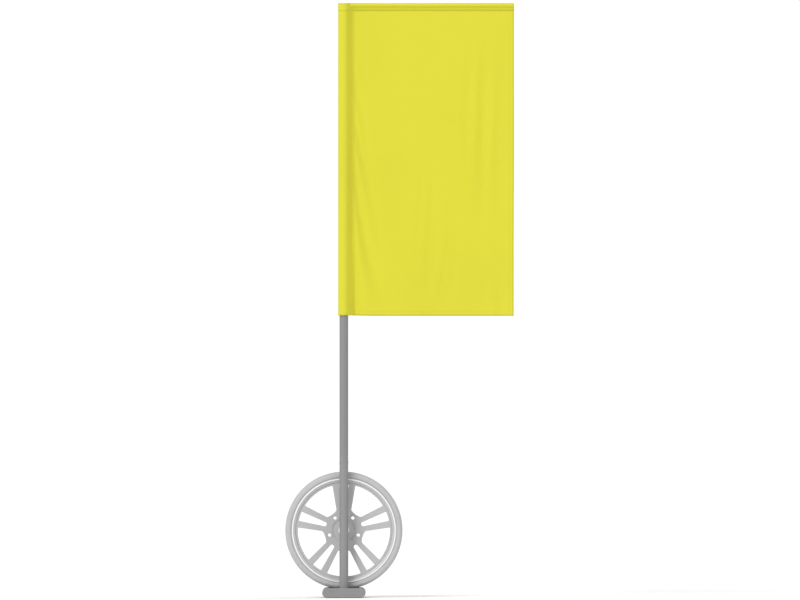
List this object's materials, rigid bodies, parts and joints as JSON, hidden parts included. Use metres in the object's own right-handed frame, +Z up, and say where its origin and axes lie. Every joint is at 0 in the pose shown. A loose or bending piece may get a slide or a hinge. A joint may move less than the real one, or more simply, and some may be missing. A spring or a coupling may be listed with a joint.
{
  "type": "wind flag with ballast wheel foot",
  "caption": "Rectangular wind flag with top arm on a free-turning pole, standing on an oval foot that carries a spoked ballast wheel.",
  "frame": {"origin": "on the underside of the foot's front pad, on the pole's axis", "axes": "+Z up along the pole, +X along the flag's top arm, +Y back from the pole to the wheel, along the wheel's axle"},
  "size_m": [1.1699, 0.36, 3.042],
  "materials": {
    "flag_fabric": "matte",
    "foot_paint": "satin",
    "pole_coat": "satin",
    "grey_plastic": "matte",
    "sole_rubber": "matte",
    "steel": "satin",
    "rivet_aluminium": "satin",
    "tyre_rubber": "matte",
    "wheel_paint": "satin",
    "bush_nylon": "satin",
    "brass": "satin"
  },
  "bodies": {
    "base": {"foot_tube": "foot_paint", "front_end_cap": "grey_plastic", "rear_end_cap": "grey_plastic", "front_sole_pad": "sole_rubber", "rear_sole_pad": "sole_rubber", "mast_shoe": "foot_paint", "shoe_screws": "steel", "mast_cross_screw": "steel", "lower_mast": "foot_paint", "swivel_spindle": "foot_paint", "spindle_plug_rivets": "rivet_aluminium", "bearing_spacer": "steel", "spindle_circlip": "steel", "lower_bearing_inner_ring": "steel", "upper_bearing_inner_ring": "steel", "stub_axle": "steel"},
    "lower_cage": {"lower_bearing_cage": "steel", "lower_bearing_balls": "steel"},
    "upper_cage": {"upper_bearing_cage": "steel", "upper_bearing_balls": "steel"},
    "flagpole": {"swivel_housing": "pole_coat", "housing_circlip": "steel", "dust_seal": "sole_rubber", "lower_bearing_outer_ring": "steel", "upper_bearing_outer_ring": "steel", "lower_pole": "pole_coat", "pole_ferrule": "pole_coat", "ferrule_rivets": "rivet_aluminium", "upper_pole": "pole_coat", "top_corner": "grey_plastic", "corner_rivets": "rivet_aluminium", "top_arm": "pole_coat", "arm_rivet": "rivet_aluminium", "arm_end_cap": "grey_plastic", "flag": "flag_fabric", "lower_button_guide": "grey_plastic", "upper_button_guide": "grey_plastic", "lower_button_spring": "steel", "upper_button_spring": "steel"},
    "lower_button": {"lower_snap_button": "steel"},
    "upper_button": {"upper_snap_button": "steel"},
    "wheel": {"tyre": "tyre_rubber", "rim_barrel": "wheel_paint", "spoke_face": "wheel_paint", "hub_bush": "bush_nylon", "valve_body": "sole_rubber", "valve_stem": "brass", "valve_cap": "grey_plastic", "balance_weights": "steel"},
    "clamp": {"clamp_washer": "steel"},
    "knob": {"star_knob": "grey_plastic", "knob_insert": "brass"}
  },
  "joints": [
    {"name": "flag_swivel", "type": "hinge", "parent": "base", "child": "flagpole", "pos_m": [0, 0, 0.8], "axis": [0, 0, 1], "continuous": true},
    {"name": "lower_cage_orbit", "type": "hinge", "parent": "base", "child": "lower_cage", "pos_m": [0, 0, 0.743], "axis": [0, 0, 1], "continuous": true},
    {"name": "upper_cage_orbit", "type": "hinge", "parent": "base", "child": "upper_cage", "pos_m": [0, 0, 0.878], "axis": [0, 0, 1], "continuous": true},
    {"name": "wheel_spin", "type": "hinge", "parent": "base", "child": "wheel", "pos_m": [0, 0.13, 0.344], "axis": [0, 1, 0], "continuous": true},
    {"name": "clamp_travel", "type": "slide", "parent": "base", "child": "clamp", "axis": [0, 1, 0], "range_m": [0, 0.0121]},
    {"name": "knob_turn", "type": "hinge", "parent": "clamp", "child": "knob", "pos_m": [0, 0.13, 0.344], "axis": [0, 1, 0], "range_deg": [0, 1440]},
    {"name": "lower_button_press", "type": "slide", "parent": "flagpole", "child": "lower_button", "axis": [0, -1, 0], "range_m": [0, 0.0072], "stiffness_N_per_m": 900, "springref_m": -0.004, "deforming": ["lower_button_spring"]},
    {"name": "upper_button_press", "type": "slide", "parent": "flagpole", "child": "upper_button", "axis": [0, -1, 0], "range_m": [0, 0.0072], "stiffness_N_per_m": 900, "springref_m": -0.004, "deforming": ["upper_button_spring"]}
  ],
  "couplings": [
    {"joint": "lower_cage_orbit", "follows": "flag_swivel", "ratio": 0.61754},
    {"joint": "upper_cage_orbit", "follows": "flag_swivel", "ratio": 0.61754},
    {"joint": "clamp_travel", "follows": "knob_turn", "m_per_rad": 0.00047746}
  ]
}
